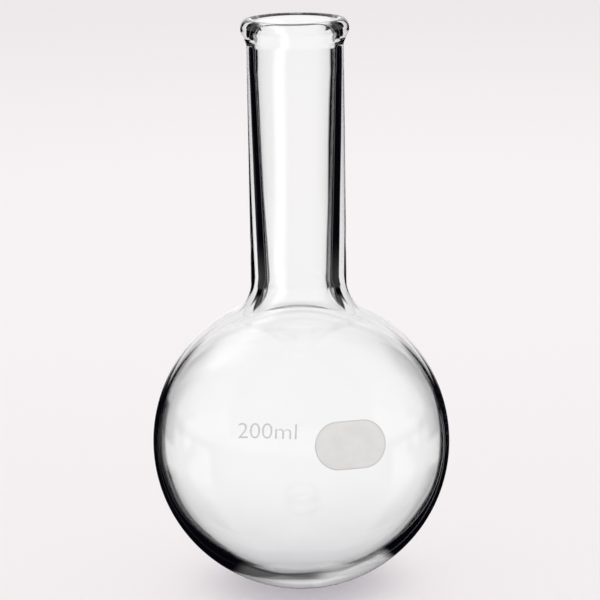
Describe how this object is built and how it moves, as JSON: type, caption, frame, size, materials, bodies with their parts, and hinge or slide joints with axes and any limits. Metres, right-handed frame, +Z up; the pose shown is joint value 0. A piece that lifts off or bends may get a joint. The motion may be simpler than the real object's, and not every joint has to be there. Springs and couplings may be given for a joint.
{
  "type": "round-bottom flask",
  "caption": "Clear glass round-bottom flask with a spherical bulb, a straight neck and a rounded lip, for holding and heating liquids in a clamp, ring or mantle.",
  "frame": {"origin": "the lowest point of the bulb, on the flask's axis", "axes": "+Z up the axis, from the bottom of the bulb through the mouth; the marked side faces -Y"},
  "size_m": [0.08, 0.08, 0.1544],
  "materials": {
    "glass": "clear, fire-polished",
    "enamel": "fired white enamel marking"
  },
  "bodies": {
    "root": {"flask": "glass"}
  },
  "joints": []
}
